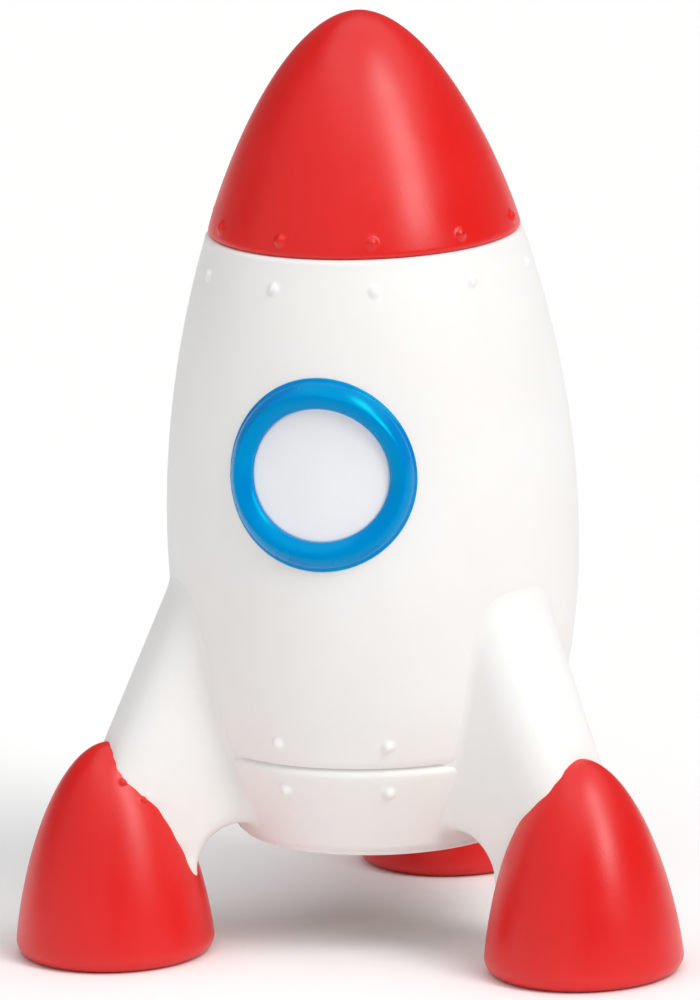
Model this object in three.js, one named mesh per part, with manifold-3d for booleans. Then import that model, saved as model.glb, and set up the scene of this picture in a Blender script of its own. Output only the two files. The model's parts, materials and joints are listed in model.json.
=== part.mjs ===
// A toy space rocket night light: a hollow soft-vinyl rocket that stands on three booted fins,
// with a battery light base plugged into its tail. Millimetres, +Z up, window towards -Y.
import * as THREE from "three";
import { mergeVertices } from "three/addons/utils/BufferGeometryUtils.js";
import Module from "manifold-3d";

const wasm = await Module();
wasm.setup();

// ---------------------------------------------------------------- driving dimensions

const HEIGHT = 135; // floor to the tip of the nose
const WALL = 2.4; // wall of the soft mouldings
const FIT_GAP = 0.3; // clearance between mouldings that meet
const RING_STEPS = 36; // facets round the hull
const BOOT_STEPS = 36; // facets round a boot

// Hull: a barrel that narrows more quickly towards the tail than towards the nose.
const BELLY_Z = 59;
const BELLY_RADIUS = 29.7;
const NOSEWARD_TAPER = 0.0036;
const TAILWARD_TAPER = 0.0048;
const SEAM_Z = 29.3; // where the tail band meets the body shell
const TAIL_Z = 15.45; // underside of the tail band
const NECK_Z = 103.2; // top face of the body shell
const NECK_HOLE_RADIUS = 15;
const SHOULDER_ROUND = 1.5;
const BAND_LIP = 0.35; // how far the tail band stands proud of the body shell
const SOCKET_DEPTH = 4.2; // overlap of each plugged-in moulding

// Nose cone: r = NOSE_RADIUS (1 - s^NOSE_POWER)^NOSE_BLUNT from base to tip.
const NOSE_Z = 103.5;
const NOSE_RADIUS = 22.47;
const NOSE_POWER = 1.11;
const NOSE_BLUNT = 0.53;
const NOSE_RIM_ROUND = 0.9;

// Fins and boots: three, at these turns from the window, clockwise seen from above being negative.
const FIN_TURNS = { left: -60, right: 60, rear: 180 };
const FIN_THICKNESS = 16.4; // at FIN_ROOT from the rocket's axis
const FIN_ROOT = 26;
const FIN_THINNING = 0.0122; // share of the thickness lost with each mm outwards
const FIN_TOP = [22.7, 49.5]; // centre of the round top: radius from the rocket's axis, height
const FIN_SLOPE_DEG = 26.2; // the outer edge from the vertical
const FIN_EDGE_LENGTH = 30.5;
const ARCH_CENTRE = [22.6, 12.3]; // the round hollow between fin, boot and tail
const ARCH_RADIUS = 6.5;
const BOOT_AXIS_RADIUS = 40.25; // from the rocket's axis to a boot's axis
const BOOT_RADIUS = 14.45;
const BOOT_HEIGHT = 31;
const BOOT_POWER = 1.5;
const BOOT_BLUNT = 0.52;
const BOOT_EDGE_ROUND = 2.2;
const BOOT_TONGUE_THICKNESS = 8;
const HULL_TONGUE = { thickness: 6, inner: 23.8, outer: 30, bottom: 36, top: 46 };

// Rivets: low domes moulded in one with the shell they stand on.
const RIVET_RADIUS = 1.05;
const RIVET_HEIGHT = 0.6;
const UPPER_RIVETS = Array.from({ length: 10 }, (_, k) => 18 + 36 * k);
const LOWER_RIVETS = [-18, 18, 102, 138, 222, 258];
const NOSE_RIVET_Z = 105.5;
const NECK_RIVET_Z = 98.9;
const SEAM_RIVET_Z = 33.05;
const BAND_RIVET_Z = 25.8;

// Porthole: a half-round ring and a window disc in a recess of the body shell.
const PORTHOLE_Z = 73.3;
const PORTHOLE_OUTER = 13.8;
const PORTHOLE_INNER = 9.5;
const RING_PROUD = 1.8;
const RECESS_DEPTH = 1.3;
const WINDOW_SINK = 0.4; // window's front face behind the hull's surface
const LIGHT_HOLE_RADIUS = 8;

// Light base: a cup plugged into the tail band, with its underside just inside the band.
const BASE_RADIUS = 17.3;
const BASE_WALL = 1.6;
const BASE_Z = 16;
const BASE_FLOOR = 2;
const BASE_TOP = 33;
const BOARD_Z = 31;
const BOARD_THICKNESS = 1.2;
const BOARD_RADIUS = 15.3;
const DIFFUSER_HEIGHT = 10.5;
const RESISTOR_X = 8;

// Battery bay: three LR44-size cells in a row along X.
const CELL = { radius: 5.8, thickness: 5.4, gap: 0.1 };
const BAY_X = -2.2; // centre of the row
const BAY = { length: 19.6, width: 12.4, wall: 1.2, top: 30 };
const CELL_Z = 24.1;

// Battery door, held by one captive screw.
const DOOR = { left: -12.4, right: 13.8, width: 13 };
const SCREW_X = 10.9;
const SCREW = { head: 1.9, headHeight: 0.9, shank: 1, top: 23.5, recess: 1.3 };
const BOSS = { radius: 2.5, bore: 1.15, bottom: 18.3, top: 27 };

// The circuit board lies on two bosses and is held by two screws.
const BOARD_SCREWS = [[-6, -11.9], [6, -11.9]];
const BOARD_BOSS_RADIUS = 2.3;

// Slide switch beside the bay.
const SWITCH_Y = 11.2;
const SWITCH_TRAVEL = 2.5;
const SWITCH_BODY = { length: 8.6, width: 4.4, bottom: 26.4, top: 30.7 };
const KNOB = { length: 3.6, width: 2.6, bottom: 15.7 };
const KNOB_STEM = 1.6;

// ---------------------------------------------------------------- solids

// A closed geometry as a manifold solid with its faces pointing out.
function solid(geometry) {
  const bare = geometry.clone();
  bare.deleteAttribute("normal");
  bare.deleteAttribute("uv");
  const merged = mergeVertices(bare, 1e-4);
  const corners = merged.index.array;
  const faces = [];
  for (let i = 0; i < corners.length; i += 3) {
    const [a, b, c] = corners.slice(i, i + 3);
    if (a !== b && b !== c && c !== a) faces.push([a, b, c]);
  }
  const build = (list) =>
    new wasm.Manifold(
      new wasm.Mesh({
        numProp: 3,
        vertProperties: merged.attributes.position.array,
        triVerts: new Uint32Array(list.flat()),
      }),
    );
  const made = build(faces);
  return made.volume() > 0 ? made : build(faces.map((face) => face.reverse()));
}

// A solid back as a geometry with flat faces.
function geometryOf(manifold) {
  const { vertProperties, triVerts, numProp } = manifold.getMesh();
  const corners = new Float32Array(triVerts.length * 3);
  triVerts.forEach((vertex, i) => {
    for (let k = 0; k < 3; k++) corners[i * 3 + k] = vertProperties[vertex * numProp + k];
  });
  const geometry = new THREE.BufferGeometry();
  geometry.setAttribute("position", new THREE.BufferAttribute(corners, 3));
  const indexed = mergeVertices(geometry, 1e-5);
  const flat = indexed.toNonIndexed();
  flat.computeVertexNormals();
  return flat;
}

// A profile of [radius, height] points turned about +Z.
function turned(profile, sides = RING_STEPS) {
  const points = profile.map(([r, z]) => new THREE.Vector2(r, z));
  return new THREE.LatheGeometry(points, sides).rotateX(Math.PI / 2);
}

function box(length, width, bottom, top, x = 0, y = 0) {
  const geometry = new THREE.BoxGeometry(length, width, top - bottom);
  return geometry.translate(x, y, (bottom + top) / 2);
}

function rod(radius, bottom, top, x = 0, y = 0, sides = 16) {
  const geometry = new THREE.CylinderGeometry(radius, radius, top - bottom, sides);
  return geometry.rotateX(Math.PI / 2).translate(x, y, (bottom + top) / 2);
}

// An outline of [radius, height] points in the XZ plane, as a slab centred on that plane.
// grow makes it larger on every side.
function slab(outline, thickness, grow = 0) {
  const shape = new THREE.Shape(outline.map(([x, z]) => new THREE.Vector2(x, z)));
  const geometry = new THREE.ExtrudeGeometry(shape, {
    depth: thickness,
    bevelEnabled: grow > 0,
    bevelThickness: grow,
    bevelSize: grow,
    bevelSegments: 1,
  });
  return geometry.translate(0, 0, -thickness / 2).rotateX(Math.PI / 2);
}

const steps = (count, value) => Array.from({ length: count + 1 }, (_, k) => value(k / count));

const arc = (x, z, radius, fromDeg, toDeg, count) =>
  steps(count, (t) => {
    const angle = THREE.MathUtils.degToRad(fromDeg + (toDeg - fromDeg) * t);
    return [x + radius * Math.cos(angle), z + radius * Math.sin(angle)];
  });

// ---------------------------------------------------------------- outlines

function hullRadius(z) {
  const taper = z > BELLY_Z ? NOSEWARD_TAPER : TAILWARD_TAPER;
  return BELLY_RADIUS - taper * (z - BELLY_Z) ** 2;
}

function noseRadius(z) {
  const s = Math.min(1, Math.max(0, (z - NOSE_Z) / (HEIGHT - NOSE_Z)));
  return NOSE_RADIUS * (1 - s ** NOSE_POWER) ** NOSE_BLUNT;
}

// Heights that crowd towards the blunt tip of a nose or boot.
const blunted = (bottom, top, count) =>
  steps(count, (t) => bottom + (top - bottom) * (1 - (1 - t) ** 2));

function bootOutline(grow = 0) {
  const radius = (z) => BOOT_RADIUS * (1 - (z / BOOT_HEIGHT) ** BOOT_POWER) ** BOOT_BLUNT;
  const round = BOOT_EDGE_ROUND;
  const foot = arc(radius(round) - round, round, round + grow, -90, 0, 3);
  const wall = blunted(round, BOOT_HEIGHT, 9).slice(1, -1).map((z) => [radius(z) + grow, z]);
  return [[0, -grow], ...foot, ...wall, [0, BOOT_HEIGHT + grow]];
}

// ---------------------------------------------------------------- hull mouldings

// Domes on a shell at one height, turned from the window by the given angles.
function withRivets(shell, radius, z, turns) {
  const curvature = (RIVET_RADIUS ** 2 + RIVET_HEIGHT ** 2) / (2 * RIVET_HEIGHT);
  const centre = radius(z) + RIVET_HEIGHT - curvature;
  return turns.reduce((sum, turn) => {
    const angle = THREE.MathUtils.degToRad(turn - 90);
    const dome = new THREE.SphereGeometry(curvature, 8, 4).rotateY(Math.PI / 2).rotateZ(angle);
    dome.translate(centre * Math.cos(angle), centre * Math.sin(angle), z);
    return sum.add(solid(dome));
  }, shell);
}

// Wraps a flat piece (x along the hull, y up, z out) onto the hull round the porthole.
function wrapped(geometry) {
  const place = geometry.attributes.position;
  for (let i = 0; i < place.count; i++) {
    const z = PORTHOLE_Z + place.getY(i);
    const turn = place.getX(i) / hullRadius(PORTHOLE_Z);
    const radius = hullRadius(z) + place.getZ(i);
    place.setXYZ(i, radius * Math.sin(turn), -radius * Math.cos(turn), z);
  }
  return geometry;
}

function wrappedDisc(radius, back, front) {
  const rings = [0, 0.35, 0.7, 1].map((share) => share * radius);
  const profile = [...rings.map((r) => [r, back]), ...rings.reverse().map((r) => [r, front])];
  return solid(wrapped(turned(profile, 28)));
}

function portholeRing() {
  const half = (PORTHOLE_OUTER - PORTHOLE_INNER) / 2;
  const back = FIT_GAP - RECESS_DEPTH;
  const dome = arc(0, 0, 1, 180, 0, 6).map(([x, z]) => [
    PORTHOLE_INNER + half + half * x,
    RING_PROUD * z,
  ]);
  const section = [[PORTHOLE_INNER, back], ...dome, [PORTHOLE_OUTER, back], [PORTHOLE_INNER, back]];
  return solid(wrapped(turned(section)));
}

function hullTongue(grow) {
  const { thickness, inner, outer, bottom, top } = HULL_TONGUE;
  const length = outer - inner + 2 * grow;
  return solid(
    box(length, thickness + 2 * grow, bottom - grow, top + grow, (inner + outer) / 2),
  );
}

const turnOf = (degrees) => degrees - 90; // from a turn off the window to a turn about +Z

function bodyShell() {
  const bottom = SEAM_Z + FIT_GAP;
  const shoulder = NECK_Z - SHOULDER_ROUND;
  const outer = steps(12, (t) => bottom + (shoulder - bottom) * t).map((z) => [hullRadius(z), z]);
  const crown = arc(hullRadius(shoulder) - SHOULDER_ROUND, shoulder, SHOULDER_ROUND, 15, 90, 3);
  const ceiling = NECK_Z - WALL;
  const inner = steps(6, (t) => ceiling + (bottom - ceiling) * t)
    .map((z) => [hullRadius(z) - WALL, z]);
  const profile = [...outer, ...crown, [NECK_HOLE_RADIUS, NECK_Z], [NECK_HOLE_RADIUS, ceiling],
    ...inner, outer[0]];
  let shell = withRivets(solid(turned(profile)), hullRadius, NECK_RIVET_Z, UPPER_RIVETS);
  shell = withRivets(shell, hullRadius, SEAM_RIVET_Z, LOWER_RIVETS);
  for (const turn of Object.values(FIN_TURNS)) {
    shell = shell.subtract(hullTongue(FIT_GAP).rotate([0, 0, turnOf(turn)]));
  }
  return shell
    .subtract(wrappedDisc(PORTHOLE_OUTER + FIT_GAP, -RECESS_DEPTH, 5))
    .subtract(wrappedDisc(LIGHT_HOLE_RADIUS, -6, 5));
}

function tailBand() {
  const lip = SEAM_Z - 0.9;
  const outside = (z) => hullRadius(z) + BAND_LIP;
  const outer = steps(4, (t) => TAIL_Z + 1 + (lip - TAIL_Z - 1) * t).map((z) => [outside(z), z]);
  const rim = arc(outside(SEAM_Z) - 0.9, lip, 0.9, 30, 90, 3);
  const spigot = hullRadius(SEAM_Z) - WALL - FIT_GAP;
  const socket = BASE_RADIUS + FIT_GAP;
  const profile = [
    [socket, TAIL_Z],
    [hullRadius(TAIL_Z) - 0.6, TAIL_Z],
    ...outer,
    ...rim,
    [spigot, SEAM_Z],
    [spigot, SEAM_Z + SOCKET_DEPTH],
    [spigot - WALL, SEAM_Z + SOCKET_DEPTH],
    [spigot - WALL, SEAM_Z - 3],
    [socket, TAIL_Z + 6],
    [socket, TAIL_Z],
  ];
  return withRivets(solid(turned(profile)), outside, BAND_RIVET_Z, LOWER_RIVETS);
}

function noseCone() {
  const base = NOSE_Z + NOSE_RIM_ROUND;
  const rim = arc(noseRadius(base) - NOSE_RIM_ROUND, base, NOSE_RIM_ROUND, -90, 0, 3);
  const outer = blunted(base, HEIGHT, 12).slice(1, -1).map((z) => [noseRadius(z), z]);
  const floor = NOSE_Z + WALL;
  const inner = blunted(floor, HEIGHT - WALL, 6).reverse().slice(1)
    .map((z) => [noseRadius(z + 1) - WALL, z]);
  const spigot = NECK_HOLE_RADIUS - FIT_GAP;
  const profile = [
    [spigot - WALL, floor],
    [spigot - WALL, NOSE_Z - SOCKET_DEPTH],
    [spigot, NOSE_Z - SOCKET_DEPTH],
    [spigot, NOSE_Z],
    ...rim,
    ...outer,
    [0, HEIGHT],
  ];
  const cone = solid(turned([[0, HEIGHT - WALL], ...inner, ...profile]));
  return withRivets(cone, noseRadius, NOSE_RIVET_Z, UPPER_RIVETS);
}

// ---------------------------------------------------------------- fins and boots

const bootPlace = (manifold) => manifold.translate([BOOT_AXIS_RADIUS, 0, 0]);

function bootTongue(grow) {
  const outline = [[28, 19], [33.5, 26.5], [39.5, 22], [39.5, 12], [31.5, 12.5]];
  return solid(slab(outline, BOOT_TONGUE_THICKNESS, grow));
}

// A fin's geometry, which stands out along +X, made thinner towards its outer edge.
function thinned(geometry) {
  const place = geometry.attributes.position;
  for (let i = 0; i < place.count; i++) {
    place.setY(i, place.getY(i) * (1 - FIN_THINNING * (place.getX(i) - FIN_ROOT)));
  }
  return geometry;
}

// One fin, standing out along +X from the rocket's axis.
function fin() {
  const slope = THREE.MathUtils.degToRad(FIN_SLOPE_DEG);
  const [topX, topZ] = FIN_TOP;
  const edge = FIN_EDGE_LENGTH;
  const end = [topX + edge * Math.sin(slope), topZ - edge * Math.cos(slope)];
  const arch = arc(...ARCH_CENTRE, ARCH_RADIUS, 0, 115, 8);
  const web = slab([[18, topZ], FIN_TOP, end, [end[0], 11], ...arch, [18, 17]], FIN_THICKNESS);
  const roundEdge = new THREE.CapsuleGeometry(FIN_THICKNESS / 2, edge, 4, 16)
    .rotateX(Math.PI / 2)
    .rotateY(-slope)
    .translate((topX + end[0]) / 2, 0, (topZ + end[1]) / 2);
  const gap = FIT_GAP + BAND_LIP;
  const hull = steps(10, (t) => 8 + 60 * t).map((z) => [hullRadius(z) + gap, z]);
  const envelope = solid(turned([[0, 8], ...hull, [0, 68]]));
  return solid(thinned(web))
    .add(solid(thinned(roundEdge)))
    .subtract(envelope)
    .subtract(bootPlace(solid(turned(bootOutline(FIT_GAP), BOOT_STEPS))))
    .add(hullTongue(0))
    .add(bootTongue(0));
}

function boot() {
  return bootPlace(solid(turned(bootOutline(), BOOT_STEPS))).subtract(bootTongue(FIT_GAP));
}

// ---------------------------------------------------------------- light base

function lightBase() {
  const inside = BASE_RADIUS - BASE_WALL;
  const floor = BASE_Z + BASE_FLOOR;
  const cup = solid(turned([
    [0, BASE_Z], [BASE_RADIUS - 0.6, BASE_Z], [BASE_RADIUS, BASE_Z + 0.6],
    [BASE_RADIUS, BASE_TOP], [inside, BASE_TOP], [inside, floor], [0, floor],
  ]));
  const bayLength = BAY.length + 2 * BAY.wall;
  const bay = solid(box(bayLength, BAY.width + 2 * BAY.wall, floor - 0.5, BAY.top, BAY_X))
    .subtract(solid(box(BAY.length, BAY.width, floor - 1, BAY.top + 1, BAY_X)));
  const doorHole = box(DOOR.right - DOOR.left + 2 * FIT_GAP, DOOR.width + 2 * FIT_GAP,
    BASE_Z - 1, floor + 0.2, (DOOR.left + DOOR.right) / 2);
  const switchSlot = box(KNOB.length + SWITCH_TRAVEL + 2 * FIT_GAP, KNOB.width + 2 * FIT_GAP,
    BASE_Z - 1, floor + 1, 0, SWITCH_Y);
  // The boss is carried by a rib that joins it to the cup's wall.
  const rib = box(inside + 0.4 - SCREW_X, 1.6, BOSS.bottom, BOSS.top, (SCREW_X + inside + 0.4) / 2);
  const boardPillars = (radius, bottom, top) =>
    BOARD_SCREWS.map(([x, y]) => solid(rod(radius, bottom, top, x, y)))
      .reduce((sum, pillar) => sum.add(pillar));
  const boardBosses = boardPillars(BOARD_BOSS_RADIUS, floor - 0.5, BOARD_Z - FIT_GAP);
  const boardBores = boardPillars(BOSS.bore, BOARD_Z - 6, BOARD_Z + 1);
  return cup
    .add(bay)
    .add(boardBosses)
    .subtract(solid(doorHole))
    .subtract(solid(switchSlot))
    .add(solid(rod(BOSS.radius, BOSS.bottom, BOSS.top, SCREW_X)).add(solid(rib)))
    .subtract(solid(rod(BOSS.bore, BOSS.bottom - 1, BOSS.top - 2, SCREW_X)))
    .subtract(boardBores);
}

function batteryDoor() {
  const middle = (DOOR.left + DOOR.right) / 2;
  const plate = box(DOOR.right - DOOR.left, DOOR.width, BASE_Z, BASE_Z + BASE_FLOOR - 0.1, middle);
  return solid(plate)
    .subtract(solid(rod(SCREW.head + 0.25, BASE_Z - 1, BASE_Z + SCREW.recess, SCREW_X)))
    .subtract(solid(rod(SCREW.shank + 0.15, BASE_Z, BASE_Z + 4, SCREW_X)));
}

function crossHeadScrew(x, y, headBottom, headTop, shankEnd, headRadius, shankRadius) {
  const facesDown = shankEnd > headTop;
  const slotFace = facesDown ? headBottom : headTop;
  const slot = (length, width) =>
    solid(box(length, width, slotFace - 0.4, slotFace + 0.4, x, y));
  const shank = facesDown
    ? rod(shankRadius, headTop - 0.1, shankEnd, x, y)
    : rod(shankRadius, shankEnd, headBottom + 0.1, x, y);
  const reach = headRadius * 1.3;
  return solid(rod(headRadius, headBottom, headTop, x, y))
    .add(solid(shank))
    .subtract(slot(reach, 0.5))
    .subtract(slot(0.5, reach));
}

const doorScrew = () =>
  crossHeadScrew(SCREW_X, 0, BASE_Z + SCREW.recess - 0.1 - SCREW.headHeight,
    BASE_Z + SCREW.recess - 0.1, SCREW.top, SCREW.head, SCREW.shank);

function buttonCell(index) {
  const { radius, thickness, gap } = CELL;
  const pitch = thickness + gap;
  const half = thickness / 2;
  const profile = [[0, -half], [radius - 0.9, -half], [radius - 0.7, 0.6 - half],
    [radius, 0.6 - half], [radius, half - 0.3], [radius - 0.3, half], [0, half]];
  const can = turned(profile, 20).rotateY(Math.PI / 2);
  return solid(can.translate(BAY_X + (index - 2) * pitch, 0, CELL_Z));
}

// A strip bent to the given outline and cut to the bay's width.
function contact(outline) {
  return solid(slab(outline, 7));
}

// A leaf spring on its back plate: it bulges towards the cell and its upper end is free.
function leafContact() {
  const x = BAY_X - 1.5 * CELL.thickness - 2 * CELL.gap;
  return contact([[x - 1.4, 19], [x - 1.1, 19], [x - 1.1, 20.2], [x - 0.1, 23], [x - 0.1, 25.5],
    [x - 0.6, 27.5], [x - 0.9, 27.4], [x - 0.4, 25.4], [x - 0.4, 23.1], [x - 1.1, 21.2],
    [x - 1.1, 30.6], [x - 1.4, 30.6]]);
}

function plateContact() {
  const x = BAY_X + 1.5 * CELL.thickness + 0.4;
  return contact([[x, 19], [x + 0.4, 19], [x + 0.4, 30.6], [x, 30.6]]);
}

function circuitBoard() {
  return BOARD_SCREWS.reduce(
    (board, [x, y]) => board.subtract(solid(rod(1.3, BOARD_Z - 1, BOARD_Z + 3, x, y))),
    solid(rod(BOARD_RADIUS, BOARD_Z, BOARD_Z + BOARD_THICKNESS, 0, 0, 28)),
  );
}

function switchBody() {
  const { length, width, bottom, top } = SWITCH_BODY;
  const slot = box(KNOB_STEM + SWITCH_TRAVEL + 1, KNOB_STEM + 0.6, bottom - 1, bottom + 2.4, 0,
    SWITCH_Y);
  return solid(box(length, width, bottom, top, 0, SWITCH_Y)).subtract(solid(slot));
}

function switchKnob() {
  const x = -SWITCH_TRAVEL / 2;
  const floor = BASE_Z + BASE_FLOOR;
  const slider = solid(box(KNOB.length + SWITCH_TRAVEL + 2, KNOB.width + 2, floor + 0.2,
    floor + 1, x, SWITCH_Y));
  return solid(box(KNOB.length, KNOB.width, KNOB.bottom, floor + 0.6, x, SWITCH_Y))
    .add(slider)
    .add(solid(box(KNOB_STEM, KNOB_STEM, floor, SWITCH_BODY.bottom + 1.6, x, SWITCH_Y)));
}

function led() {
  const foot = BOARD_Z + BOARD_THICKNESS + 0.1;
  const shoulder = foot + 5.2;
  return solid(turned([[0, foot], [2.9, foot], [2.9, foot + 1], [2.5, foot + 1],
    ...arc(0, shoulder, 2.5, 0, 90, 4).slice(0, -1), [0, shoulder + 2.5]], 14));
}

function resistor() {
  const z = BOARD_Z + BOARD_THICKNESS + 1.1;
  const profile = [[0, -3], [0.7, -3], [0.9, -2.6], [0.9, -1.8], [0.7, -1.5], [0.7, 1.5],
    [0.9, 1.8], [0.9, 2.6], [0.7, 3], [0, 3]];
  return solid(turned(profile, 10).rotateX(Math.PI / 2).translate(RESISTOR_X, 0, z));
}

function diffuser() {
  const bottom = BASE_TOP + FIT_GAP;
  const squash = DIFFUSER_HEIGHT / BASE_RADIUS;
  const dome = (radius, count) =>
    arc(0, 0, radius, 0, 90, count).map(([x, z]) => [x, bottom + z * squash]);
  const outer = dome(BASE_RADIUS, 5).slice(0, -1);
  const inner = dome(BASE_RADIUS - 1.5, 5).reverse().slice(1);
  return solid(turned([[0, bottom + (BASE_RADIUS - 1.5) * squash], ...inner, ...outer,
    [0, bottom + DIFFUSER_HEIGHT]], 24));
}

// ---------------------------------------------------------------- assembly

const finish = (color, roughness, metalness = 0) =>
  new THREE.MeshStandardMaterial({ color, roughness, metalness });
const redVinyl = finish("#e02c2b", 0.5);
const whiteVinyl = finish("#f4f2ef", 0.5);
const blueVinyl = finish("#0487ce", 0.35);
const whitePlastic = finish("#e9e8e4", 0.4);
const steel = finish("#c9cacb", 0.3, 1);
const boardGreen = finish("#2c6b45", 0.5);
const blackPlastic = finish("#1e1f21", 0.45);
const clearResin = finish("#fbf6e2", 0.15);
const tanCeramic = finish("#cfb58a", 0.5);

const rocket = new THREE.Group();
rocket.position.set(0, -BOOT_AXIS_RADIUS / 4, 0); // centres the three boots' box on the origin

function place(name, manifold, material, parent = rocket) {
  const mesh = new THREE.Mesh(geometryOf(manifold), material);
  mesh.name = name;
  parent.add(mesh);
}

place("nose_cone", noseCone(), redVinyl);
place("body_shell", bodyShell(), whiteVinyl);
place("tail_band", tailBand(), whiteVinyl);
place("porthole_ring", portholeRing(), blueVinyl);
place("porthole_window",
  wrappedDisc(PORTHOLE_INNER - FIT_GAP, FIT_GAP - RECESS_DEPTH, -WINDOW_SINK), whiteVinyl);

for (const [side, turn] of Object.entries(FIN_TURNS)) {
  const leg = new THREE.Group();
  leg.rotation.z = THREE.MathUtils.degToRad(turnOf(turn));
  rocket.add(leg);
  place(`fin_${side}`, fin(), whiteVinyl, leg);
  place(`boot_${side}`, boot(), redVinyl, leg);
}

place("light_base", lightBase(), whitePlastic);
place("battery_door", batteryDoor(), whitePlastic);
place("door_screw", doorScrew(), steel);
for (const index of [1, 2, 3]) place(`button_cell_${index}`, buttonCell(index), steel);
place("contact_leaf", leafContact(), steel);
place("contact_plate", plateContact(), steel);
place("circuit_board", circuitBoard(), boardGreen);
BOARD_SCREWS.forEach(([x, y], i) => {
  const top = BOARD_Z + BOARD_THICKNESS;
  const screw = crossHeadScrew(x, y, top + 0.1, top + 0.9, BOARD_Z - 4, 1.9, 1);
  place(`board_screw_${i + 1}`, screw, steel);
});
place("switch_body", switchBody(), blackPlastic);
place("switch_knob", switchKnob(), blackPlastic);
place("led", led(), clearResin);
place("resistor", resistor(), tanCeramic);
place("diffuser_cap", diffuser(), clearResin);

export default rocket;
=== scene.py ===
import json
import math

import bpy
import numpy as np
from mathutils import Matrix, Vector


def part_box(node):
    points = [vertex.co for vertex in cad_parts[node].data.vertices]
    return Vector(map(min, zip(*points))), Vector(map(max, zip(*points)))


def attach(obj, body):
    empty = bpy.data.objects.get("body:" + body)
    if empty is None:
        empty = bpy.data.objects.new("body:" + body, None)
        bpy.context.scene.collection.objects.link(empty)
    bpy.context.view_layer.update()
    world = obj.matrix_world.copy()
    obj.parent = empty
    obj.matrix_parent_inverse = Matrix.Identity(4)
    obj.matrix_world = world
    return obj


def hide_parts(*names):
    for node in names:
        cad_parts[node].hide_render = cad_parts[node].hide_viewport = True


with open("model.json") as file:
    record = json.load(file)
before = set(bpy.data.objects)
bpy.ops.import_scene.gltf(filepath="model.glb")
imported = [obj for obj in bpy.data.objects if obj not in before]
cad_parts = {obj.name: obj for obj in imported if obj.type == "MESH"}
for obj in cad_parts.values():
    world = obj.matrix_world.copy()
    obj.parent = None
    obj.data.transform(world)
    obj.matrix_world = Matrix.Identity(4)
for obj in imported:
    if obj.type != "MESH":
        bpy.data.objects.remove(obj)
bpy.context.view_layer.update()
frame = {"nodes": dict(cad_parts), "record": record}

MM = 0.001

# ------------------------------------------------------------------ sizes, from the frame (mm)


def node_box(node):
    """The lowest and highest corners of a CAD node, in mm."""
    low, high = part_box(node)
    return np.array(low) / MM, np.array(high) / MM


nose_low, nose_high = node_box("nose_cone")
shell_low, shell_high = node_box("body_shell")
band_low, band_high = node_box("tail_band")
boot_low, boot_high = node_box("boot_rear")
ring_low, ring_high = node_box("porthole_ring")

AXIS_Y = (nose_low[1] + nose_high[1]) / 2
HEIGHT = nose_high[2]
NECK_Z = shell_high[2]
SEAM_Z = shell_low[2] - 0.3
TAIL_Z = band_low[2]
BELLY_Z = 59.0
BELLY_RADIUS = (shell_high[0] - shell_low[0]) / 2
NOSEWARD_TAPER, TAILWARD_TAPER = 0.0036, 0.0048
WALL = 2.4
NECK_HOLE_RADIUS = 15.0
SPIGOT_LENGTH, SPIGOT_GAP = 4.2, 0.3
CONTACT_GAP = 0.06

NOSE_Z = NECK_Z + 0.3
NOSE_RADIUS, NOSE_POWER, NOSE_BLUNT = 22.47, 1.11, 0.53

BOOT_AXIS_RADIUS = (boot_low[1] + boot_high[1]) / 2 - AXIS_Y
BOOT_HEIGHT = boot_high[2]
BOOT_RADIUS, BOOT_POWER, BOOT_BLUNT = 14.45, 1.5, 0.52
FIN_TURNS = {"left": -60, "right": 60, "rear": 180}
FIN_HALF, FIN_ROOT, FIN_THINNING = 8.2, 26.0, 0.10
FIN_TOP = np.array([23.2, 48.9])
FIN_SLOPE = math.radians(27.8)
FIN_CORNER = 2.7
FIN_FILLET = 1.0
FIN_ROOT_DEPTH, FIN_ROOT_REACH, FIN_ROOT_ROUND = 1.6, 2.4, 1.6  # the part inside the hull
FIN_FOOT_Z = 9.0
ARCH_CENTRE, ARCH_RADIUS, ARCH_ROUND = (22.6, 12.3), 6.5, 3.0
EDGE_RIPPLE, EDGE_RIPPLE_REACH = 0.07, 0.8
BOOT_BEADS = ((183.0, 26.5), (202.0, 23.9))  # angle round the boot and height
BEAD_HEIGHT, BEAD_RADIUS = 0.4, 0.45

RIVET_RADIUS, RIVET_FLATNESS = 0.74, 3.4
UPPER_RIVET_HEIGHT, LOWER_RIVET_HEIGHT = 0.5, 0.76
UPPER_RIVETS = [18 + 36 * k for k in range(10)]
LOWER_RIVETS = [-18, 18, 102, 138, 222, 258]
NOSE_RIVET_Z, NECK_RIVET_Z, SEAM_RIVET_Z, BAND_RIVET_Z = 105.5, 98.9, 33.05, 25.8

PORTHOLE_Z = (ring_low[2] + ring_high[2]) / 2
PORTHOLE_OUTER, PORTHOLE_INNER = 13.8, 9.5
PORTHOLE_WIDENING = (1.085, 1.035)  # across the opening and across the rim
RING_PROUD = 1.8
SEAT_DEPTH, SEAT_RADIUS, SEAT_EDGE = 1.5, 12.6, 1.6


def hull_radius(z):
    """The barrel's outer radius at a height."""
    z = np.asarray(z, float)
    taper = np.where(z > BELLY_Z, NOSEWARD_TAPER, TAILWARD_TAPER)
    return BELLY_RADIUS - taper * (z - BELLY_Z) ** 2


def nose_radius(z):
    """The nose's outer radius at a height."""
    s = np.clip((np.asarray(z, float) - NOSE_Z) / (HEIGHT - NOSE_Z), 0, 1)
    return NOSE_RADIUS * (1 - s**NOSE_POWER) ** NOSE_BLUNT


def boot_radius(z):
    """A boot's outer radius about its own axis at a height."""
    s = np.clip(np.asarray(z, float) / BOOT_HEIGHT, 0, 1)
    return BOOT_RADIUS * (1 - s**BOOT_POWER) ** BOOT_BLUNT


# ------------------------------------------------------------------ mesh helpers


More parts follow.
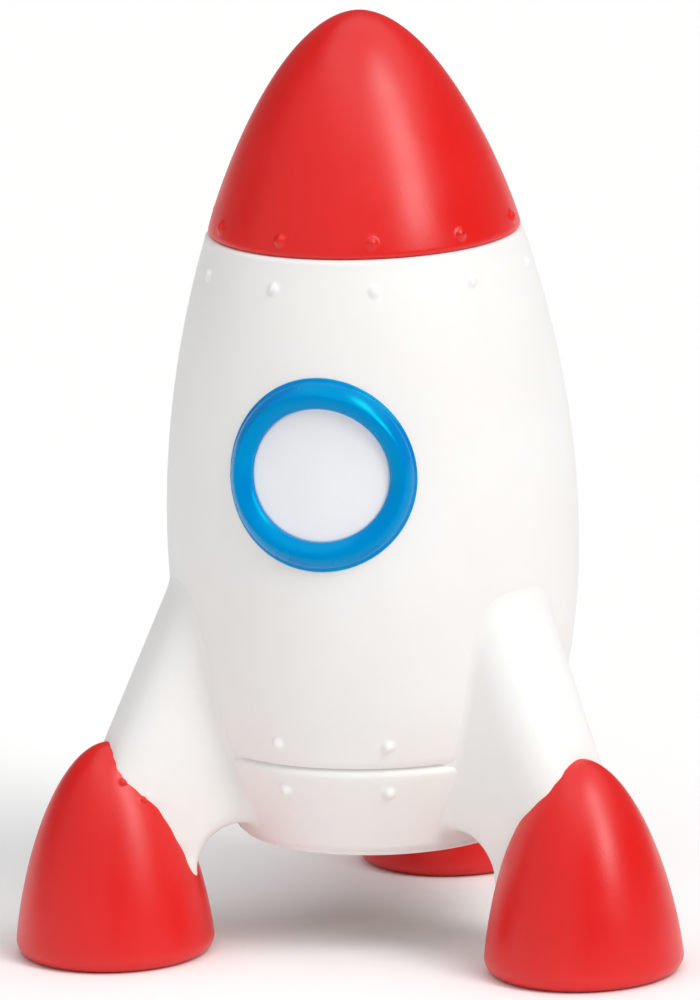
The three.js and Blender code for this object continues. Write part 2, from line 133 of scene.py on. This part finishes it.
def make_object(name, points, faces, material, body="rocket"):
    """A smooth-shaded mesh from points in mm round the rocket's own axis."""
    mesh = bpy.data.meshes.new(name)
    shifted = (np.asarray(points, float) + [0, AXIS_Y, 0]) * MM
    mesh.from_pydata([tuple(p) for p in shifted], [], [tuple(f) for f in faces])
    mesh.validate()
    mesh.shade_smooth()
    piece = bpy.data.objects.new(name, mesh)
    bpy.context.scene.collection.objects.link(piece)
    mesh.materials.append(material)
    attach(piece, body)
    return piece


def grid_faces(rows, columns, close_rows):
    """Quads of a rows x columns grid of points that closes round its columns."""
    faces = []
    for i in range(rows if close_rows else rows - 1):
        a, b = i * columns, (i + 1) % rows * columns
        for j in range(columns):
            k = (j + 1) % columns
            faces.append((a + j, a + k, b + k, b + j))
    return faces


def capped(faces, rows, columns, first_pole, last_pole):
    """Adds triangle fans from pole points to the first and last rows."""
    last = (rows - 1) * columns
    for j in range(columns):
        k = (j + 1) % columns
        if first_pole is not None:
            faces.append((first_pole, k, j))
        if last_pole is not None:
            faces.append((last_pole, last + j, last + k))
    return faces


def turn_columns(rivet_turns, rivet_span, coarse):
    """Angles in degrees, close together at each rivet and coarse between."""
    fine = np.linspace(-rivet_span, rivet_span, 17)
    plain = np.arange(0, 360, coarse)
    close = []
    for turn in rivet_turns:
        away = np.abs((plain - turn + 180) % 360 - 180)
        plain = plain[away > rivet_span + coarse / 3]
        close.append((turn + fine) % 360)
    return np.unique(np.round(np.concatenate([plain, *close]), 4))


def rivet_bump(angle_deg, z, radius, rivets):
    """Height in mm of the rivets' soft domes. rivets holds (angles, z, height) for each ring."""
    height = np.zeros(np.broadcast(angle_deg, z).shape)
    for turns, rivet_z, rivet_height in rivets:
        for turn in turns:
            along = np.radians((angle_deg - turn + 180) % 360 - 180) * radius
            d = np.hypot(along, z - rivet_z)
            dome = rivet_height * np.exp(-((d / RIVET_RADIUS) ** RIVET_FLATNESS))
            height = np.maximum(height, dome)
    return height


def revolved(profile, columns, push=None, poles=(False, False)):
    """Points and faces of a profile of (radius, height) turned about the Z axis.

    push gives extra mm along the surface's normal, and poles says which ends of the profile
    are points on the axis."""
    profile = np.asarray(profile, float)
    closed = not any(poles)
    if closed:
        ahead, behind = np.roll(profile, -1, 0), np.roll(profile, 1, 0)
    else:
        ahead = np.vstack([profile[1:], profile[-1:]])
        behind = np.vstack([profile[:1], profile[:-1]])
    tangent = ahead - behind
    tangent /= np.linalg.norm(tangent, axis=1, keepdims=True)
    normal = np.stack([tangent[:, 1], -tangent[:, 0]], 1)
    kept = slice(1 if poles[0] else 0, len(profile) - (1 if poles[1] else 0))
    rows, normal = profile[kept], normal[kept]
    r, z = rows[:, :1], rows[:, 1:]
    angle = np.asarray(columns)[None, :]
    extra = push(angle, z, r) if push else 0.0
    radius = r + normal[:, :1] * extra
    height = z + normal[:, 1:] * extra
    a = np.radians(angle)
    xyz = np.stack([radius * np.sin(a), -radius * np.cos(a), height + 0 * a], 2)
    points = xyz.reshape(-1, 3)
    faces = grid_faces(len(rows), len(columns), closed)
    first = last = None
    if poles[0]:
        first = len(points)
        points = np.vstack([points, [0, 0, profile[0, 1]]])
    if poles[1]:
        last = len(points)
        points = np.vstack([points, [0, 0, profile[-1, 1]]])
    return points, capped(faces, len(rows), len(columns), first, last)


def revolve(name, profile, columns, material, push, poles=(False, False)):
    """A piece turned about the rocket's own axis."""
    points, faces = revolved(profile, columns, push, poles)
    return make_object(name, points, faces, material)


def arc(x, z, radius, start, end, count):
    """Points along an arc about (x, z), between two angles in degrees."""
    angles = np.radians(np.linspace(start, end, count + 1))
    return [(x + radius * math.cos(t), z + radius * math.sin(t)) for t in angles]


def heights(bottom, top, coarse, rivet_zs=(), span=1.5, fine=0.18):
    """Heights from bottom to top, close together round each rivet row."""
    values = list(np.linspace(bottom, top, max(2, int((top - bottom) / coarse) + 1)))
    for rivet_z in rivet_zs:
        values = [v for v in values if abs(v - rivet_z) > span + coarse / 3]
        values += list(np.arange(rivet_z - span, rivet_z + span + fine / 2, fine))
    return np.array(sorted(values))


# ------------------------------------------------------------------ implicit surfaces


def smooth_min(a, b, k):
    """The smaller of two distances, blended where they differ by less than k."""
    h = np.clip(0.5 + 0.5 * (b - a) / k, 0, 1)
    return b * (1 - h) + a * h - k * h * (1 - h)


def surface_nets(field, low, high, step):
    """A closed quad mesh of field < 0, with its points drawn onto the surface."""
    counts = [int(math.ceil((h - l) / step)) + 1 for l, h in zip(low, high)]
    axes = [l + step * np.arange(n) for l, n in zip(low, counts)]
    x, y, z = np.meshgrid(*axes, indexing="ij")
    value = field(x, y, z)
    inside = value < 0
    nx, ny, nz = value.shape
    total = np.zeros((nx - 1, ny - 1, nz - 1, 3))
    crossings = np.zeros((nx - 1, ny - 1, nz - 1))
    corner = [(i, j, k) for i in (0, 1) for j in (0, 1) for k in (0, 1)]

    def part(array, c):
        return array[c[0] : nx - 1 + c[0], c[1] : ny - 1 + c[1], c[2] : nz - 1 + c[2]]

    for a in corner:
        for axis in range(3):
            if a[axis]:
                continue
            b = tuple(1 if i == axis else a[i] for i in range(3))
            va, vb = part(value, a), part(value, b)
            cross = part(inside, a) != part(inside, b)
            t = np.where(cross, va / np.where(cross, va - vb, 1), 0)
            for i in range(3):
                total[..., i] += cross * (a[i] + (t if i == axis else 0))
            crossings += cross
    used = crossings > 0
    index = np.full(used.shape, -1)
    index[used] = np.arange(used.sum())
    cell = np.argwhere(used)
    points = np.array(low) + step * (cell + total[used] / crossings[used][:, None])
    faces = []
    for axis in range(3):
        u, v = (axis + 1) % 3, (axis + 2) % 3
        first = [slice(0, n) for n in value.shape]
        second = [slice(0, n) for n in value.shape]
        first[axis], second[axis] = slice(0, -1), slice(1, None)
        a, b = inside[tuple(first)], inside[tuple(second)]
        for sign in (1, -1):
            cells = np.argwhere(a & ~b if sign > 0 else ~a & b)
            cells = cells[(cells[:, u] > 0) & (cells[:, v] > 0)]
            quad = []
            for du, dv in ((-1, -1), (0, -1), (0, 0), (-1, 0)):
                c = cells.copy()
                c[:, u] += du
                c[:, v] += dv
                quad.append(index[c[:, 0], c[:, 1], c[:, 2]])
            quad = np.stack(quad, 1)
            faces.append(quad if sign > 0 else quad[:, ::-1])
    faces = np.concatenate(faces)
    small = 0.05 * step
    for _ in range(3):
        p = [points[:, i] for i in range(3)]
        here = field(*p)
        slope = np.stack(
            [
                (field(*[c + small * (i == k) for k, c in enumerate(p)]) - here) / small
                for i in range(3)
            ],
            1,
        )
        size = np.sum(slope**2, 1)
        move = np.where(size > 0.05, -here / np.maximum(size, 0.05), 0)
        move = np.clip(move, -0.5 * step, 0.5 * step)
        points = points + slope * move[:, None]
    return points, faces


def fin_distance(x, y, z):
    """Rough distance to one fin's own solid, which stands out along +X from the axis."""
    dx, dz = x - FIN_TOP[0], z - FIN_TOP[1]
    along = dx * math.sin(FIN_SLOPE) - dz * math.cos(FIN_SLOPE)
    out = dx * math.cos(FIN_SLOPE) + dz * math.sin(FIN_SLOPE)
    half = FIN_HALF - FIN_THINNING * (x - FIN_ROOT)
    end = np.hypot(np.maximum(out, 0), np.minimum(along, 0)) / half
    section = (end**FIN_CORNER + (np.abs(y) / half) ** FIN_CORNER) ** (1 / FIN_CORNER)
    plate = (section - 1) * half
    below = np.maximum(z - ARCH_CENTRE[1], 0)
    arch = ARCH_RADIUS - np.hypot(x - ARCH_CENTRE[0], below)
    return -smooth_min(-plate, -arch, ARCH_ROUND)


def hull_distance(x, y, z):
    """Distance out from the barrel's skin."""
    slope = 2 * TAILWARD_TAPER * (z - BELLY_Z)
    return (np.hypot(x, y) - hull_radius(z)) / np.sqrt(1 + slope**2)


def boot_edge_ripple(x, y, z):
    """Slight unevenness, in mm, of a fin where the boot's edge lies on it."""
    boot = np.hypot(x - BOOT_AXIS_RADIUS, y) - boot_radius(z)
    wave = np.sin(2.1 * y + 1.1 * z) + np.sin(1.7 * z - 2.6 * y + 1.0)
    return EDGE_RIPPLE * wave * np.exp(-((boot / EDGE_RIPPLE_REACH) ** 2))


def fin_field(x, y, z):
    """Below zero inside a fin, its fillet to the hull and its hidden root."""
    fin = fin_distance(x, y, z) + boot_edge_ripple(x, y, z)
    hull = hull_distance(x, y, z)
    stops_at_tail = np.maximum(hull + 0.05, TAIL_Z + 0.7 - z)
    skin = smooth_min(fin, stops_at_tail, FIN_FILLET)
    root = smooth_min(hull + FIN_ROOT_DEPTH, FIN_ROOT_REACH - fin, FIN_ROOT_ROUND)
    hidden = smooth_min(root, z - FIN_FOOT_Z, FIN_ROOT_ROUND)
    return -smooth_min(-skin, hidden, FIN_ROOT_ROUND)


# ------------------------------------------------------------------ materials


def linear(red, green, blue):
    """An sRGB colour of 0 to 255 as Blender's linear colour."""
    values = []
    for c in (red, green, blue):
        c /= 255
        values.append(c / 12.92 if c <= 0.04045 else ((c + 0.055) / 1.055) ** 2.4)
    return (*values, 1.0)


class Nodes:
    """A material's node tree, with short calls for what the materials here need."""

    def __init__(self, name):
        self.material = bpy.data.materials.new(name)
        self.material.use_nodes = True
        self.tree = self.material.node_tree
        self.shader = self.tree.nodes["Principled BSDF"]
        self.place = self.tree.nodes.new("ShaderNodeTexCoord").outputs["Object"]

    def add(self, kind, **values):
        """A new node of a kind, with some of its properties set."""
        node = self.tree.nodes.new(kind)
        for key, value in values.items():
            setattr(node, key, value)
        return node

    def link(self, source, target):
        self.tree.links.new(source, target)

    def noise(self, scale, detail=3.0, roughness=0.5):
        """Noise in the piece's own coordinates."""
        node = self.add("ShaderNodeTexNoise")
        node.inputs["Scale"].default_value = scale
        node.inputs["Detail"].default_value = detail
        node.inputs["Roughness"].default_value = roughness
        self.link(self.place, node.inputs["Vector"])
        return node.outputs["Fac"]

    def ramp(self, source, low, high, low_value, high_value):
        """A value spread from one range to another."""
        node = self.add("ShaderNodeMapRange")
        node.inputs["From Min"].default_value = low
        node.inputs["From Max"].default_value = high
        node.inputs["To Min"].default_value = low_value
        node.inputs["To Max"].default_value = high_value
        self.link(source, node.inputs["Value"])
        return node.outputs["Result"]

    def mix(self, factor, a, b):
        """A mix of two colours, each a fixed colour or another node's output."""
        node = self.add("ShaderNodeMix", data_type="RGBA")
        for socket, value in ((node.inputs[6], a), (node.inputs[7], b)):
            if isinstance(value, tuple):
                socket.default_value = value
            else:
                self.link(value, socket)
        self.link(factor, node.inputs[0])
        return node.outputs[2]

    def bump(self, source, strength, distance_mm, previous=None):
        """A bump from a height source, over an earlier bump if one is given."""
        node = self.add("ShaderNodeBump")
        node.inputs["Strength"].default_value = strength
        node.inputs["Distance"].default_value = distance_mm * MM
        self.link(source, node.inputs["Height"])
        if previous is not None:
            self.link(previous, node.inputs["Normal"])
        return node.outputs["Normal"]

    def set(self, **values):
        """Sets the shader's own sockets, with _ for each space in their names."""
        for key, value in values.items():
            self.shader.inputs[key.replace("_", " ")].default_value = value


def soft_vinyl(
    name, colour, deep, roughness, grain, subsurface, tint, specular=0.5, gloss_tint=(1, 1, 1)
):
    """Moulded soft vinyl: slight colour drift, fine moulded grain and a soft uneven sheen."""
    n = Nodes(name)
    drift = n.ramp(n.noise(38, 4), 0.35, 0.7, 0, 1)
    speck = n.ramp(n.noise(2600, 2), 0.52, 0.78, 0, 0.35)
    colour_out = n.mix(drift, linear(*colour), linear(*deep))
    colour_out = n.mix(speck, colour_out, linear(*deep))
    n.link(colour_out, n.shader.inputs["Base Color"])
    sheen = n.ramp(n.noise(90, 5), 0.3, 0.7, roughness - 0.05, roughness + 0.06)
    n.link(sheen, n.shader.inputs["Roughness"])
    fine = n.bump(n.noise(3400, 3, 0.6), grain, 0.05)
    swell = n.bump(n.noise(120, 2), 0.2, 0.10, fine)
    n.link(swell, n.shader.inputs["Normal"])
    n.set(Subsurface_Weight=subsurface, Subsurface_Scale=0.0012)
    n.set(Specular_IOR_Level=specular, Specular_Tint=(*gloss_tint, 1))
    n.shader.inputs["Subsurface Radius"].default_value = tint
    return n.material


def plain_plastic(name, colour, roughness, metallic=0.0, grain=0.2, scale=900, coat=0.0):
    """A hard part's finish: moulding grain or fine brushing, and slightly uneven gloss."""
    n = Nodes(name)
    drift = n.ramp(n.noise(60, 3), 0.35, 0.7, 0, 1)
    darker = tuple(c * 0.9 for c in colour)
    n.link(n.mix(drift, linear(*colour), linear(*darker)), n.shader.inputs["Base Color"])
    gloss = n.ramp(n.noise(180, 4), 0.3, 0.7, roughness - 0.04, roughness + 0.07)
    n.link(gloss, n.shader.inputs["Roughness"])
    n.link(n.bump(n.noise(scale, 3), grain, 0.03), n.shader.inputs["Normal"])
    n.set(Metallic=metallic, Coat_Weight=coat)
    return n.material


red_vinyl = soft_vinyl(
    "red_vinyl", (228, 9, 1), (218, 4, 3), 0.35, 0.30, 0.0, (1.0, 0.12, 0.08), 0.6
)
white_vinyl = soft_vinyl(
    "white_vinyl", (245, 244, 242), (240, 238, 235), 0.50, 0.22, 0.08, (1.0, 0.9, 0.8)
)
window_vinyl = soft_vinyl(
    "window_vinyl", (240, 241, 244), (234, 235, 239), 0.55, 0.15, 0.05, (0.9, 0.95, 1.0)
)
blue_vinyl = soft_vinyl(
    "blue_vinyl", (0, 130, 208), (0, 122, 200), 0.25, 0.10, 0.0, (0.1, 0.5, 1.0), 1.0,
    (0.0, 1.0, 0.7),
)

# ------------------------------------------------------------------ hull mouldings


def nose_cone():
    """The red cap: a rounded rim, a riveted skin, a hollow inside and a spigot for the neck."""
    rim, tip_height = 0.5, 2.2
    bottom = NECK_Z + CONTACT_GAP
    base = bottom + rim
    spigot = NECK_HOLE_RADIUS - SPIGOT_GAP
    tip_base = HEIGHT - tip_height
    outer_z = heights(base, tip_base, 0.9, [NOSE_RIVET_Z], 1.26)
    tip = HEIGHT - tip_height * (1 - np.sin(np.linspace(0, np.pi / 2, 14)[1:-1])) ** 1.6
    outer_z = np.concatenate([outer_z, np.unique(tip[tip > tip_base])])
    outer = [(float(nose_radius(z)), z) for z in outer_z]
    inner_z = np.linspace(HEIGHT - WALL - 0.8, NOSE_Z + WALL, 16)
    inner = [(max(0.8, float(nose_radius(z + 1)) - WALL), z) for z in inner_z]
    profile = [(0, HEIGHT - WALL)] + inner
    profile += [(spigot - WALL, NOSE_Z + WALL), (spigot - WALL, NOSE_Z - SPIGOT_LENGTH)]
    profile += [(spigot, NOSE_Z - SPIGOT_LENGTH), (spigot, bottom)]
    profile += arc(float(nose_radius(base)) - rim, base, rim, -90, 0, 7)[:-1]
    profile += outer + [(0, HEIGHT)]

    def push(angle, z, r):
        on_skin = r > nose_radius(z) - 0.05
        rivets = [(UPPER_RIVETS, NOSE_RIVET_Z, UPPER_RIVET_HEIGHT)]
        return np.where(on_skin, rivet_bump(angle, z, r, rivets), 0)

    columns = turn_columns(UPPER_RIVETS, 3.4, 2.5)
    piece = revolve(
        "red_nose_cone", profile, columns, red_vinyl, push, (True, True)
    )
    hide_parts("nose_cone")


def porthole_sink(angle, z, r):
    """The shallow seat behind the ring and the window, in mm."""
    across = np.radians((angle + 180) % 360 - 180) * r
    d = np.hypot(across, z - PORTHOLE_Z)
    t = np.clip((SEAT_RADIUS - d) / SEAT_EDGE, 0, 1)
    return -SEAT_DEPTH * t * t * (3 - 2 * t)


def body_shell():
    """The white barrel, open at the neck and foot, with its rivets and the porthole's seat."""
    shoulder_round = 0.9
    foot_round = 0.25
    bottom = SEAM_Z + 0.3
    shoulder = NECK_Z - shoulder_round
    z = heights(bottom + foot_round, shoulder, 1.0, [NECK_RIVET_Z, SEAM_RIVET_Z], 1.26)
    outer = [(float(hull_radius(v)), v) for v in z]
    crown = arc(float(hull_radius(shoulder)) - shoulder_round, shoulder, shoulder_round, 12, 90, 8)
    ceiling = NECK_Z - WALL
    inner_z = np.linspace(ceiling, bottom, 24)
    inner = [(float(hull_radius(v)) - WALL, v) for v in inner_z]
    foot = arc(float(hull_radius(bottom)) - foot_round, bottom + foot_round, foot_round, -90, 0, 5)
    profile = foot[:-1] + outer + crown + [(17.0, NECK_Z), (NECK_HOLE_RADIUS, NECK_Z)]
    profile += [(NECK_HOLE_RADIUS, ceiling)] + inner[:-1] + [(inner[-1][0], bottom)]

    def push(angle, z, r):
        on_skin = r > hull_radius(z) - 0.05
        rivets = [(UPPER_RIVETS, NECK_RIVET_Z, UPPER_RIVET_HEIGHT)]
        rivets += [(LOWER_RIVETS, SEAM_RIVET_Z, LOWER_RIVET_HEIGHT)]
        bumps = rivet_bump(angle, z, r, rivets)
        return np.where(on_skin, bumps + porthole_sink(angle, z, r), 0)

    columns = turn_columns(sorted({*UPPER_RIVETS, *(t % 360 for t in LOWER_RIVETS)}), 3.0, 2.0)
    piece = revolve("white_body_shell", profile, columns, white_vinyl, push)
    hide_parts("body_shell")


def tail_band():
    """The band under the groove: a sloped ledge, a proud crest and a spigot for the barrel."""
    lip, edge_round = 0.45, 1.0
    fillet, ledge, ledge_slope, crest = 0.2, 0.55, math.radians(48), 1.1
    top = shell_low[2] - CONTACT_GAP
    drop = fillet * (1 - math.cos(ledge_slope)) + ledge * math.sin(ledge_slope)
    reach = fillet * math.sin(ledge_slope) + ledge * math.cos(ledge_slope)
    shoulder = top - drop - crest * math.cos(ledge_slope)

    def outside(z):
        return hull_radius(z) + lip * np.clip((z - TAIL_Z) / (shoulder - TAIL_Z), 0, 1)

    z = heights(TAIL_Z + edge_round, shoulder, 0.8, [BAND_RIVET_Z], 1.26)
    outer = [(float(outside(v)), v) for v in z]
    edge = float(outside(shoulder)) - crest
    crest_end = 90 - math.degrees(ledge_slope)
    convex = arc(edge, shoulder, crest, 4, crest_end, 8)
    inner_edge = edge + crest * math.sin(ledge_slope) - reach
    concave = arc(inner_edge, top - fillet, fillet, crest_end, 90, 5)
    socket = 17.6
    spigot = float(hull_radius(SEAM_Z)) - WALL - SPIGOT_GAP
    foot = arc(float(outside(TAIL_Z)) - edge_round, TAIL_Z + edge_round, edge_round, -90, -8, 7)
    profile = [(socket, TAIL_Z), (socket + 1.2, TAIL_Z)] + foot + outer + convex
    profile += concave + [(spigot, top), (spigot, top + SPIGOT_LENGTH)]
    profile += [(spigot - WALL, top + SPIGOT_LENGTH)]
    profile += [(spigot - WALL, SEAM_Z - 3), (socket, TAIL_Z + 6), (socket, TAIL_Z + 0.6)]

    def push(angle, z, r):
        on_skin = r > outside(z) - 0.05
        rivets = [(LOWER_RIVETS, BAND_RIVET_Z, LOWER_RIVET_HEIGHT)]
        return np.where(on_skin, rivet_bump(angle, z, r, rivets), 0)

    columns = turn_columns(LOWER_RIVETS, 3.4, 2.5)
    piece = revolve("white_tail_band", profile, columns, white_vinyl, push)
    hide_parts("tail_band")


def wrap(across, up, out):
    """A point beside the porthole's centre, laid on the hull: mm across, up and proud."""
    z = PORTHOLE_Z + up
    turn = across / float(hull_radius(PORTHOLE_Z))
    radius = hull_radius(z) + out
    return np.stack([radius * np.sin(turn), -radius * np.cos(turn), z], -1)


def wrapped_ring(name, section, count, material, close_rows=True, pole_out=None):
    """Sweeps a section of (radius, proud) points round the porthole.

    pole_out gives how proud the two middle points of a closed disc stand."""
    section = np.asarray(section, float)
    a = np.linspace(0, 2 * np.pi, count, endpoint=False)[None, :]
    rho, out = section[:, :1], section[:, 1:]
    wide = np.interp(rho, (PORTHOLE_INNER, PORTHOLE_OUTER), PORTHOLE_WIDENING)
    points = wrap(wide * rho * np.cos(a), rho * np.sin(a), out + 0 * a).reshape(-1, 3)
    faces = grid_faces(len(section), count, close_rows)
    if pole_out:
        middle = np.zeros(2)
        points = np.vstack([points, wrap(middle, middle, np.array(pole_out))])
        capped(faces, len(section), count, len(points) - 2, len(points) - 1)
    return make_object(name, points, faces, material)


def porthole():
    """The blue ring, with a low flange and a crest of two slopes, and the dished window."""
    flange, step = 0.5, 0.3
    half = (PORTHOLE_OUTER - flange - PORTHOLE_INNER) / 2
    middle = PORTHOLE_INNER + half
    tent = 1.35
    across = np.cos(np.radians(np.linspace(0, 180, 41)))[1:-1]
    crest = [
        (middle + half * u, step + (RING_PROUD - step) * (1 - abs(u) ** tent) ** (1 / tent))
        for u in across
    ]
    section = [(PORTHOLE_INNER, -1.2), (PORTHOLE_OUTER - 0.4, -1.2), (PORTHOLE_OUTER, -0.6)]
    section += [(PORTHOLE_OUTER, step - 0.25), (PORTHOLE_OUTER - 0.08, step - 0.06)]
    section += [(PORTHOLE_OUTER - 0.24, step), (PORTHOLE_OUTER - flange, step)] + crest
    section += [(PORTHOLE_INNER, step - 0.1), (PORTHOLE_INNER, -0.5)]
    ring = wrapped_ring("blue_porthole_ring", section, 160, blue_vinyl)
    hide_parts("porthole_ring")

    edge = PORTHOLE_INNER + 0.25
    rings = [(edge * s, -1.25) for s in (0.25, 0.5, 0.75, 0.97)]
    rings += [(edge, -1.15), (edge, -0.5), (edge - 0.15, -0.22)]
    dish = (0.95, 0.9, 0.85, 0.8, 0.74, 0.68, 0.6, 0.5, 0.4, 0.2)
    rings += [(edge * s, -0.88 + 0.66 * s**3.5) for s in dish]
    window = wrapped_ring(
        "white_porthole_window", rings, 96, window_vinyl, False, (-1.25, -0.88)
    )
    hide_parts("porthole_window")


# ------------------------------------------------------------------ fins and boots


def turned_about_axis(points, turn):
    """Points laid out along +X, turned to an angle in degrees from the rocket's front."""
    a = math.radians(turn - 90)
    x, y, z = points[:, 0], points[:, 1], points[:, 2]
    return np.stack([x * math.cos(a) - y * math.sin(a), x * math.sin(a) + y * math.cos(a), z], 1)


def fins():
    """The three fins, each one closed skin that blends into the hull."""
    points, faces = surface_nets(fin_field, (14.7, -12.3, 7.2), (55, 12, 63), 0.5)
    for side, turn in FIN_TURNS.items():
        piece = make_object(
            f"white_fin_{side}", turned_about_axis(points, turn), faces, white_vinyl,
        )
        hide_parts(f"fin_{side}")


def boot_beads(angle, z, r):
    """Height in mm of the small moulding beads beside the fin's edge."""
    height = np.zeros(np.broadcast(angle, z).shape)
    for turn, row in BOOT_BEADS:
        along = np.radians((angle - turn + 180) % 360 - 180) * r
        d = np.hypot(along, (z - row) * 1.3)
        height = np.maximum(height, BEAD_HEIGHT * np.exp(-((d / BEAD_RADIUS) ** 3)))
    return height


def boots():
    """The three red feet, with rounded lower edges and a recess in each sole."""
    foot_round, dome = 2.2, 3.6
    bead_turns, bead_rows = zip(*BOOT_BEADS)
    wall_z = heights(foot_round, BOOT_HEIGHT - dome, 0.8, bead_rows, 0.9, 0.15)
    dome_z = BOOT_HEIGHT - dome * (1 - np.linspace(0, 1, 20)[1:-1]) ** 1.8
    wall = [(float(boot_radius(v)), v) for v in np.concatenate([wall_z, dome_z])]
    foot = arc(float(boot_radius(foot_round)) - foot_round, foot_round, foot_round, -90, 0, 10)
    sole = [(r, 0.4) for r in (0, 3, 6, 8.4)] + [(8.75, 0.3), (8.95, 0.06), (9.2, 0), (11, 0)]
    profile = sole + foot[:-1] + wall + [(0, BOOT_HEIGHT)]
    columns = turn_columns(bead_turns, 7, 2.8)
    for side, turn in FIN_TURNS.items():
        push = boot_beads if side == "left" else None
        points, faces = revolved(profile, columns, push, (True, True))
        piece = make_object(
            f"red_boot_{side}", turned_about_axis(points + [BOOT_AXIS_RADIUS, 0, 0], turn),
            faces, red_vinyl,
        )
        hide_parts(f"boot_{side}")


nose_cone()
body_shell()
tail_band()
porthole()
fins()
boots()

# ------------------------------------------------------------------ carried-over CAD nodes

finishes = {
    "base_plastic": plain_plastic("base_plastic", (228, 226, 220), 0.42),
    "screw_steel": plain_plastic("screw_steel", (172, 173, 175), 0.3, 1.0, 0.3, 1500),
    "cell_steel": plain_plastic("cell_steel", (190, 190, 188), 0.24, 1.0, 0.25, 1500),
    "contact_brass": plain_plastic("contact_brass", (205, 180, 120), 0.3, 1.0, 0.25, 1500),
    "board_laminate": plain_plastic("board_laminate", (38, 96, 62), 0.45, 0.0, 0.5, 1800),
    "black_plastic": plain_plastic("black_plastic", (32, 32, 34), 0.4),
    "clear_resin": plain_plastic("clear_resin", (246, 240, 214), 0.12, 0.0, 0.05, 300, 0.4),
    "resistor_ceramic": plain_plastic("resistor_ceramic", (205, 176, 130), 0.45),
    "diffuser_plastic": plain_plastic("diffuser_plastic", (240, 238, 232), 0.55),
}
for entry in frame["record"]["subparts"]:
    finish = finishes.get(entry["material_slot"])
    if finish:
        mesh = frame["nodes"][entry["node"]].data
        mesh.materials.clear()
        mesh.materials.append(finish)

# ------------------------------------------------------------------ floor, light and camera

CAMERA_TURN = 15.4
CAMERA_ELEVATION = 12.91
CAMERA_DISTANCE = 1.8
CAMERA_ROLL = -1.73
CAMERA_LENS = 449.6
CAMERA_AIM = (-3.10, -0.855, 63.3)  # mm, from the rocket's axis


def stage():
    """A plain pale floor."""
    mesh = bpy.data.meshes.new("studio_floor")
    half = 6.0
    corners = [(-half, -half, 0), (half, -half, 0), (half, half, 0), (-half, half, 0)]
    mesh.from_pydata(corners, [], [(0, 1, 2, 3)])
    floor = bpy.data.objects.new("studio_floor", mesh)
    bpy.context.scene.collection.objects.link(floor)
    n = Nodes("floor_paper")
    n.set(Roughness=0.9, Base_Color=(0.965, 0.965, 0.965, 1), Specular_IOR_Level=0.1)
    mesh.materials.append(n.material)


def soft_sun(name, side, elevation, softness, strength, colour=(1, 1, 1)):
    """Even studio light from a direction: degrees to the camera's right, degrees up."""
    light = bpy.data.lights.new(name, "SUN")
    light.angle = math.radians(softness)
    light.energy = strength
    light.color = colour
    lamp = bpy.data.objects.new(name, light)
    a, e = math.radians(CAMERA_TURN + side), math.radians(elevation)
    source = Vector((math.sin(a) * math.cos(e), -math.cos(a) * math.cos(e), math.sin(e)))
    lamp.rotation_euler = (-source).to_track_quat("-Z", "Y").to_euler()
    lamp.location = source
    bpy.context.scene.collection.objects.link(lamp)


stage()
soft_sun("key_low", 46, 31, 18, 0.74, (1.0, 0.99, 0.98))
soft_sun("key_high", 46, 54, 22, 0.78, (1.0, 0.99, 0.98))
soft_sun("fill", -50, 28, 90, 0.62)
soft_sun("top", 70, 80, 90, 1.45)
world = bpy.data.worlds.new("studio")
world.use_nodes = True
world.node_tree.nodes["Background"].inputs["Color"].default_value = (1, 1, 1, 1)
world.node_tree.nodes["Background"].inputs["Strength"].default_value = 0.18
bpy.context.scene.world = world
bpy.context.scene.view_settings.view_transform = "Standard"

camera_data = bpy.data.cameras.new("camera")
camera_data.lens = CAMERA_LENS
camera_data.sensor_width = 36
camera_data.clip_end = 50
camera = bpy.data.objects.new("camera", camera_data)
bpy.context.scene.collection.objects.link(camera)
turn, lift = math.radians(CAMERA_TURN), math.radians(CAMERA_ELEVATION)
back = Vector((math.sin(turn) * math.cos(lift), -math.cos(turn) * math.cos(lift), math.sin(lift)))
aim = (Vector(CAMERA_AIM) + Vector((0, AXIS_Y, 0))) * MM
camera.location = aim + back * CAMERA_DISTANCE
facing = (-back).to_track_quat("-Z", "Y").to_matrix().to_4x4()
roll = Matrix.Rotation(math.radians(CAMERA_ROLL), 4, "Z")
camera.rotation_euler = (facing @ roll).to_euler()
bpy.context.scene.camera = camera
